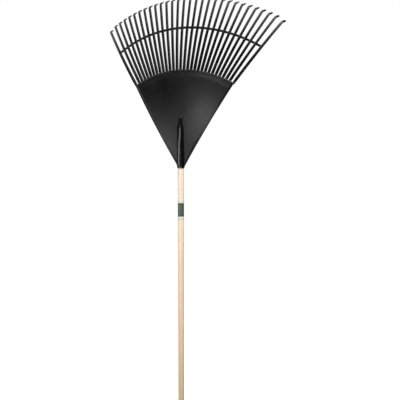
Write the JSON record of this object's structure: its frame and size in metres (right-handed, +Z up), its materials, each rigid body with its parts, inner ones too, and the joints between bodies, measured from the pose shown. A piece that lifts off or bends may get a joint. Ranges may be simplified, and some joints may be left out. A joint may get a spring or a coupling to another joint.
{
  "type": "leaf rake",
  "caption": "Fan-shaped leaf rake with springy hooked plastic tines tied by a cross bar, and a long straight wooden handle held in the head's socket.",
  "frame": {"origin": "centre of the handle's butt end", "axes": "+Z up along the handle to the head, -Y out of the head's front (bowed) face, +Y the way the tine tips hook, +X to the right as seen from the front"},
  "size_m": [0.7528, 0.1691, 1.7248],
  "materials": {
    "black_plastic": "satin",
    "ash": "clear lacquer",
    "label": "satin",
    "zinc": "zinc plated"
  },
  "bodies": {
    "head": {"handle": "ash", "label": "label", "handle_screw": "zinc", "socket": "black_plastic", "panel": "black_plastic", "edge_rib_left": "black_plastic", "edge_rib_right": "black_plastic", "cross_bar": "black_plastic", "tine_roots": "black_plastic"},
    "tine_01": {"tine_01": "black_plastic"},
    "tine_02": {"tine_02": "black_plastic"},
    "tine_03": {"tine_03": "black_plastic"},
    "tine_04": {"tine_04": "black_plastic"},
    "tine_05": {"tine_05": "black_plastic"},
    "tine_06": {"tine_06": "black_plastic"},
    "tine_07": {"tine_07": "black_plastic"},
    "tine_08": {"tine_08": "black_plastic"},
    "tine_09": {"tine_09": "black_plastic"},
    "tine_10": {"tine_10": "black_plastic"},
    "tine_11": {"tine_11": "black_plastic"},
    "tine_12": {"tine_12": "black_plastic"},
    "tine_13": {"tine_13": "black_plastic"},
    "tine_14": {"tine_14": "black_plastic"},
    "tine_15": {"tine_15": "black_plastic"},
    "tine_16": {"tine_16": "black_plastic"},
    "tine_17": {"tine_17": "black_plastic"},
    "tine_18": {"tine_18": "black_plastic"},
    "tine_19": {"tine_19": "black_plastic"},
    "tine_20": {"tine_20": "black_plastic"},
    "tine_21": {"tine_21": "black_plastic"},
    "tine_22": {"tine_22": "black_plastic"},
    "tine_23": {"tine_23": "black_plastic"},
    "tine_24": {"tine_24": "black_plastic"},
    "tine_25": {"tine_25": "black_plastic"},
    "tine_26": {"tine_26": "black_plastic"},
    "tine_27": {"tine_27": "black_plastic"},
    "tine_28": {"tine_28": "black_plastic"},
    "tine_29": {"tine_29": "black_plastic"},
    "tine_30": {"tine_30": "black_plastic"}
  },
  "joints": [
    {"name": "tine_01_flex", "type": "hinge", "parent": "head", "child": "tine_01", "pos_m": [-0.30942, 0.08361, 1.53257], "axis": [0.8187, 0, 0.5743], "range_deg": [-6, 18], "stiffness_Nm_per_rad": 8},
    {"name": "tine_02_flex", "type": "hinge", "parent": "head", "child": "tine_02", "pos_m": [-0.28697, 0.07792, 1.54532], "axis": [0.8452, 0, 0.5345], "range_deg": [-6, 18], "stiffness_Nm_per_rad": 7},
    {"name": "tine_03_flex", "type": "hinge", "parent": "head", "child": "tine_03", "pos_m": [-0.26703, 0.07327, 1.55562], "axis": [0.8668, 0, 0.4987], "range_deg": [-6, 18], "stiffness_Nm_per_rad": 7},
    {"name": "tine_04_flex", "type": "hinge", "parent": "head", "child": "tine_04", "pos_m": [-0.24679, 0.06893, 1.56516], "axis": [0.8868, 0, 0.4621], "range_deg": [-6, 18], "stiffness_Nm_per_rad": 7},
    {"name": "tine_05_flex", "type": "hinge", "parent": "head", "child": "tine_05", "pos_m": [-0.22626, 0.06492, 1.57391], "axis": [0.9054, 0, 0.4246], "range_deg": [-6, 18], "stiffness_Nm_per_rad": 7},
    {"name": "tine_06_flex", "type": "hinge", "parent": "head", "child": "tine_06", "pos_m": [-0.20548, 0.06123, 1.58189], "axis": [0.9223, 0, 0.3865], "range_deg": [-6, 18], "stiffness_Nm_per_rad": 7},
    {"name": "tine_07_flex", "type": "hinge", "parent": "head", "child": "tine_07", "pos_m": [-0.18447, 0.0579, 1.58909], "axis": [0.9376, 0, 0.3476], "range_deg": [-6, 18], "stiffness_Nm_per_rad": 7},
    {"name": "tine_08_flex", "type": "hinge", "parent": "head", "child": "tine_08", "pos_m": [-0.16325, 0.05491, 1.59549], "axis": [0.9513, 0, 0.3082], "range_deg": [-6, 18], "stiffness_Nm_per_rad": 7},
    {"name": "tine_09_flex", "type": "hinge", "parent": "head", "child": "tine_09", "pos_m": [-0.14185, 0.05228, 1.60111], "axis": [0.9634, 0, 0.2682], "range_deg": [-6, 18], "stiffness_Nm_per_rad": 7},
    {"name": "tine_10_flex", "type": "hinge", "parent": "head", "child": "tine_10", "pos_m": [-0.1203, 0.05002, 1.60592], "axis": [0.9737, 0, 0.2277], "range_deg": [-6, 18], "stiffness_Nm_per_rad": 7},
    {"name": "tine_11_flex", "type": "hinge", "parent": "head", "child": "tine_11", "pos_m": [-0.09861, 0.04812, 1.60994], "axis": [0.9824, 0, 0.1868], "range_deg": [-6, 18], "stiffness_Nm_per_rad": 7},
    {"name": "tine_12_flex", "type": "hinge", "parent": "head", "child": "tine_12", "pos_m": [-0.07681, 0.0466, 1.61316], "axis": [0.9893, 0, 0.1457], "range_deg": [-6, 18], "stiffness_Nm_per_rad": 7},
    {"name": "tine_13_flex", "type": "hinge", "parent": "head", "child": "tine_13", "pos_m": [-0.05492, 0.04546, 1.61557], "axis": [0.9946, 0, 0.1042], "range_deg": [-6, 18], "stiffness_Nm_per_rad": 7},
    {"name": "tine_14_flex", "type": "hinge", "parent": "head", "child": "tine_14", "pos_m": [-0.03298, 0.04469, 1.61718], "axis": [0.998, 0, 0.0626], "range_deg": [-6, 18], "stiffness_Nm_per_rad": 7},
    {"name": "tine_15_flex", "type": "hinge", "parent": "head", "child": "tine_15", "pos_m": [-0.011, 0.04431, 1.61799], "axis": [0.9998, 0, 0.0209], "range_deg": [-6, 18], "stiffness_Nm_per_rad": 7},
    {"name": "tine_16_flex", "type": "hinge", "parent": "head", "child": "tine_16", "pos_m": [0.011, 0.04431, 1.61799], "axis": [0.9998, 0, -0.0209], "range_deg": [-6, 18], "stiffness_Nm_per_rad": 7},
    {"name": "tine_17_flex", "type": "hinge", "parent": "head", "child": "tine_17", "pos_m": [0.03298, 0.04469, 1.61718], "axis": [0.998, 0, -0.0626], "range_deg": [-6, 18], "stiffness_Nm_per_rad": 7},
    {"name": "tine_18_flex", "type": "hinge", "parent": "head", "child": "tine_18", "pos_m": [0.05492, 0.04546, 1.61557], "axis": [0.9946, 0, -0.1042], "range_deg": [-6, 18], "stiffness_Nm_per_rad": 7},
    {"name": "tine_19_flex", "type": "hinge", "parent": "head", "child": "tine_19", "pos_m": [0.07681, 0.0466, 1.61316], "axis": [0.9893, 0, -0.1457], "range_deg": [-6, 18], "stiffness_Nm_per_rad": 7},
    {"name": "tine_20_flex", "type": "hinge", "parent": "head", "child": "tine_20", "pos_m": [0.09861, 0.04812, 1.60994], "axis": [0.9824, 0, -0.1868], "range_deg": [-6, 18], "stiffness_Nm_per_rad": 7},
    {"name": "tine_21_flex", "type": "hinge", "parent": "head", "child": "tine_21", "pos_m": [0.1203, 0.05002, 1.60592], "axis": [0.9737, 0, -0.2277], "range_deg": [-6, 18], "stiffness_Nm_per_rad": 7},
    {"name": "tine_22_flex", "type": "hinge", "parent": "head", "child": "tine_22", "pos_m": [0.14185, 0.05228, 1.60111], "axis": [0.9634, 0, -0.2682], "range_deg": [-6, 18], "stiffness_Nm_per_rad": 7},
    {"name": "tine_23_flex", "type": "hinge", "parent": "head", "child": "tine_23", "pos_m": [0.16325, 0.05491, 1.59549], "axis": [0.9513, 0, -0.3082], "range_deg": [-6, 18], "stiffness_Nm_per_rad": 7},
    {"name": "tine_24_flex", "type": "hinge", "parent": "head", "child": "tine_24", "pos_m": [0.18447, 0.0579, 1.58909], "axis": [0.9376, 0, -0.3476], "range_deg": [-6, 18], "stiffness_Nm_per_rad": 7},
    {"name": "tine_25_flex", "type": "hinge", "parent": "head", "child": "tine_25", "pos_m": [0.20548, 0.06123, 1.58189], "axis": [0.9223, 0, -0.3865], "range_deg": [-6, 18], "stiffness_Nm_per_rad": 7},
    {"name": "tine_26_flex", "type": "hinge", "parent": "head", "child": "tine_26", "pos_m": [0.22626, 0.06492, 1.57391], "axis": [0.9054, 0, -0.4246], "range_deg": [-6, 18], "stiffness_Nm_per_rad": 7},
    {"name": "tine_27_flex", "type": "hinge", "parent": "head", "child": "tine_27", "pos_m": [0.24679, 0.06893, 1.56516], "axis": [0.8868, 0, -0.4621], "range_deg": [-6, 18], "stiffness_Nm_per_rad": 7},
    {"name": "tine_28_flex", "type": "hinge", "parent": "head", "child": "tine_28", "pos_m": [0.26703, 0.07327, 1.55562], "axis": [0.8668, 0, -0.4987], "range_deg": [-6, 18], "stiffness_Nm_per_rad": 7},
    {"name": "tine_29_flex", "type": "hinge", "parent": "head", "child": "tine_29", "pos_m": [0.28697, 0.07792, 1.54532], "axis": [0.8452, 0, -0.5345], "range_deg": [-6, 18], "stiffness_Nm_per_rad": 7},
    {"name": "tine_30_flex", "type": "hinge", "parent": "head", "child": "tine_30", "pos_m": [0.30942, 0.08361, 1.53257], "axis": [0.8187, 0, -0.5743], "range_deg": [-6, 18], "stiffness_Nm_per_rad": 8}
  ]
}
